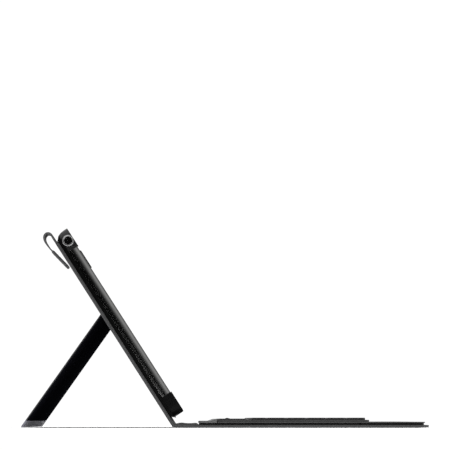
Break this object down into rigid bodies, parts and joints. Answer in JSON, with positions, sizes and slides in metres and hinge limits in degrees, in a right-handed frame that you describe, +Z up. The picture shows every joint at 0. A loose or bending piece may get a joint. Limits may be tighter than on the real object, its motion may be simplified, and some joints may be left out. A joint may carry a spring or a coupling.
{
  "type": "tablet keyboard case",
  "caption": "Folding tablet case with a keyboard flap, a tray with corner clips, a hinged rear kickstand and a closing strap.",
  "frame": {"origin": "centre of the opened case's footprint, on the desk", "axes": "+X towards the user's edge of the keyboard, +Y to the user's right, +Z up"},
  "size_m": [0.3884, 0.304, 0.1905],
  "materials": {
    "outer_skin": "fine-grained dark grey synthetic leather",
    "inner_lining": "dense grey microfibre",
    "stiffener": "fibreglass board",
    "black_shell": "matte black moulded plastic",
    "grey_shell": "fine textured dark grey moulded plastic",
    "bar_plastic": "satin mid grey plastic",
    "control_plastic": "satin black plastic",
    "key_plastic": "satin dark key plastic",
    "switch_plastic": "light grey plastic",
    "light_pipe": "clear light pipe",
    "steel": "bare sheet steel",
    "membrane": "printed film",
    "dome_rubber": "silicone rubber",
    "battery_foil": "pouch foil",
    "board_green": "solder mask",
    "port_metal": "plated steel shell",
    "tray_black": "matte black moulded plastic",
    "tray_pad": "black microfibre pad",
    "rail_gloss": "polished dark edge",
    "clip_grey": "dark grey rubbery plastic",
    "clip_black": "black rubbery plastic",
    "ring_metal": "polished ring",
    "bezel_plastic": "black bezel",
    "stand_liner": "black woven facing",
    "foot_rubber": "silver-grey grip strip",
    "magnet": "nickel plate"
  },
  "bodies": {
    "base": {"base_outer_skin": "outer_skin", "base_board": "stiffener", "base_lining": "inner_lining", "keyboard_bottom_shell": "black_shell", "keyboard_top_shell": "grey_shell", "battery_cover": "bar_plastic", "control_bar": "control_plastic", "key_plate": "steel", "key_membrane": "membrane", "rubber_domes": "dome_rubber", "battery_cells": "battery_foil", "circuit_board": "board_green", "charging_port": "port_metal", "status_light": "light_pipe", "shell_screws": "steel", "catch_plate": "steel"},
    "power_switch": {"power_switch": "switch_plastic"},
    "pairing_button": {"pairing_button": "switch_plastic"},
    "function_keys": {"function_keys": "key_plastic"},
    "number_keys": {"number_keys": "key_plastic"},
    "upper_letter_keys": {"upper_letter_keys": "key_plastic"},
    "home_letter_keys": {"home_letter_keys": "key_plastic"},
    "lower_letter_keys": {"lower_letter_keys": "key_plastic"},
    "modifier_keys": {"modifier_keys": "key_plastic"},
    "space_bar": {"space_bar": "key_plastic"},
    "enter_key": {"enter_key": "key_plastic"},
    "backspace_key": {"backspace_key": "key_plastic"},
    "left_shift_key": {"left_shift_key": "key_plastic"},
    "right_shift_key": {"right_shift_key": "key_plastic"},
    "spine": {"spine_outer_skin": "outer_skin", "spine_board": "stiffener", "spine_lining": "inner_lining"},
    "cover": {"cover_outer_skin": "outer_skin", "cover_board": "stiffener", "cover_lining": "inner_lining", "camera_bezel": "bezel_plastic", "hinge_blocks": "clip_grey", "tray_plate": "tray_black", "tray_pad": "tray_pad", "left_rail": "rail_gloss", "right_rail": "rail_gloss", "top_left_clip": "clip_grey", "top_right_clip": "clip_grey", "bottom_left_clip": "clip_black", "bottom_right_clip": "clip_black", "headphone_ring": "ring_metal"},
    "kickstand": {"kickstand_panel": "outer_skin", "kickstand_liner": "stand_liner", "kickstand_foot": "foot_rubber", "hinge_rod": "steel"},
    "flap_1": {"flap_link_1": "outer_skin"},
    "flap_2": {"flap_link_2": "outer_skin"},
    "flap_3": {"flap_link_3": "outer_skin"},
    "flap_4": {"flap_link_4": "outer_skin"},
    "flap_5": {"flap_link_5": "outer_skin"},
    "flap_6": {"flap_link_6": "outer_skin"},
    "flap_7": {"flap_link_7": "outer_skin"},
    "flap_end": {"flap_tab": "outer_skin", "tab_magnet": "magnet"}
  },
  "joints": [
    {"name": "spine_fold", "type": "hinge", "parent": "base", "child": "spine", "pos_m": [-0.02667, 0, 0.0017], "axis": [0, 1, 0], "range_deg": [0, 90]},
    {"name": "cover_fold", "type": "hinge", "parent": "spine", "child": "cover", "pos_m": [-0.04837, 0, 0.0034], "axis": [0, 1, 0], "range_deg": [-57.25, 32.75]},
    {"name": "kickstand_hinge", "type": "hinge", "parent": "cover", "child": "kickstand", "pos_m": [-0.11805, 0, 0.10804], "axis": [0, -1, 0], "range_deg": [0, 67.85]},
    {"name": "flap_fold_1", "type": "hinge", "parent": "cover", "child": "flap_1", "pos_m": [-0.16242, -0.136, 0.17795], "axis": [0, 1, 0], "range_deg": [0, 26.02]},
    {"name": "flap_fold_2", "type": "hinge", "parent": "flap_1", "child": "flap_2", "pos_m": [-0.16486, -0.136, 0.18173], "axis": [0, 1, 0], "range_deg": [0, 34.02]},
    {"name": "flap_fold_3", "type": "hinge", "parent": "flap_2", "child": "flap_3", "pos_m": [-0.16729, -0.136, 0.18551], "axis": [0, 1, 0], "range_deg": [0, 59.02]},
    {"name": "flap_fold_4", "type": "hinge", "parent": "flap_3", "child": "flap_4", "pos_m": [-0.17178, -0.136, 0.18577], "axis": [0, 1, 0], "range_deg": [0, 61.02]},
    {"name": "flap_fold_5", "type": "hinge", "parent": "flap_4", "child": "flap_5", "pos_m": [-0.17419, -0.136, 0.18196], "axis": [0, 1, 0], "range_deg": [0, 46.02]},
    {"name": "flap_fold_6", "type": "hinge", "parent": "flap_5", "child": "flap_6", "pos_m": [-0.17312, -0.136, 0.17759], "axis": [0, 1, 0], "range_deg": [0, 25.02]},
    {"name": "flap_fold_7", "type": "hinge", "parent": "flap_6", "child": "flap_7", "pos_m": [-0.17062, -0.136, 0.17385], "axis": [0, 1, 0], "range_deg": [0, 28.52]},
    {"name": "closing_flap", "type": "hinge", "parent": "flap_7", "child": "flap_end", "pos_m": [-0.16771, -0.136, 0.17042], "axis": [0, 1, 0], "range_deg": [0, 92]},
    {"name": "function_keys_travel", "type": "slide", "parent": "base", "child": "function_keys", "axis": [0, 0, -1], "range_m": [0, 0.0014], "stiffness_N_per_m": 400, "springref_m": -0.0006},
    {"name": "number_keys_travel", "type": "slide", "parent": "base", "child": "number_keys", "axis": [0, 0, -1], "range_m": [0, 0.0014], "stiffness_N_per_m": 400, "springref_m": -0.0006},
    {"name": "upper_letter_keys_travel", "type": "slide", "parent": "base", "child": "upper_letter_keys", "axis": [0, 0, -1], "range_m": [0, 0.0014], "stiffness_N_per_m": 400, "springref_m": -0.0006},
    {"name": "home_letter_keys_travel", "type": "slide", "parent": "base", "child": "home_letter_keys", "axis": [0, 0, -1], "range_m": [0, 0.0014], "stiffness_N_per_m": 400, "springref_m": -0.0006},
    {"name": "lower_letter_keys_travel", "type": "slide", "parent": "base", "child": "lower_letter_keys", "axis": [0, 0, -1], "range_m": [0, 0.0014], "stiffness_N_per_m": 400, "springref_m": -0.0006},
    {"name": "modifier_keys_travel", "type": "slide", "parent": "base", "child": "modifier_keys", "axis": [0, 0, -1], "range_m": [0, 0.0014], "stiffness_N_per_m": 400, "springref_m": -0.0006},
    {"name": "space_bar_travel", "type": "slide", "parent": "base", "child": "space_bar", "axis": [0, 0, -1], "range_m": [0, 0.0014], "stiffness_N_per_m": 400, "springref_m": -0.0006},
    {"name": "enter_key_travel", "type": "slide", "parent": "base", "child": "enter_key", "axis": [0, 0, -1], "range_m": [0, 0.0014], "stiffness_N_per_m": 400, "springref_m": -0.0006},
    {"name": "backspace_key_travel", "type": "slide", "parent": "base", "child": "backspace_key", "axis": [0, 0, -1], "range_m": [0, 0.0014], "stiffness_N_per_m": 400, "springref_m": -0.0006},
    {"name": "left_shift_key_travel", "type": "slide", "parent": "base", "child": "left_shift_key", "axis": [0, 0, -1], "range_m": [0, 0.0014], "stiffness_N_per_m": 400, "springref_m": -0.0006},
    {"name": "right_shift_key_travel", "type": "slide", "parent": "base", "child": "right_shift_key", "axis": [0, 0, -1], "range_m": [0, 0.0014], "stiffness_N_per_m": 400, "springref_m": -0.0006},
    {"name": "power_switch_slide", "type": "slide", "parent": "base", "child": "power_switch", "axis": [0, 1, 0], "range_m": [0, 0.003]},
    {"name": "pairing_button_travel", "type": "slide", "parent": "base", "child": "pairing_button", "axis": [0, 0, -1], "range_m": [0, 0.0004], "stiffness_N_per_m": 800, "springref_m": -0.0003}
  ],
  "couplings": [
    {"joint": "flap_fold_1", "follows": "closing_flap", "ratio": 0.28261},
    {"joint": "flap_fold_2", "follows": "closing_flap", "ratio": 0.36956},
    {"joint": "flap_fold_3", "follows": "closing_flap", "ratio": 0.6413},
    {"joint": "flap_fold_4", "follows": "closing_flap", "ratio": 0.66304},
    {"joint": "flap_fold_5", "follows": "closing_flap", "ratio": 0.5},
    {"joint": "flap_fold_6", "follows": "closing_flap", "ratio": 0.27174},
    {"joint": "flap_fold_7", "follows": "closing_flap", "ratio": 0.30978}
  ]
}
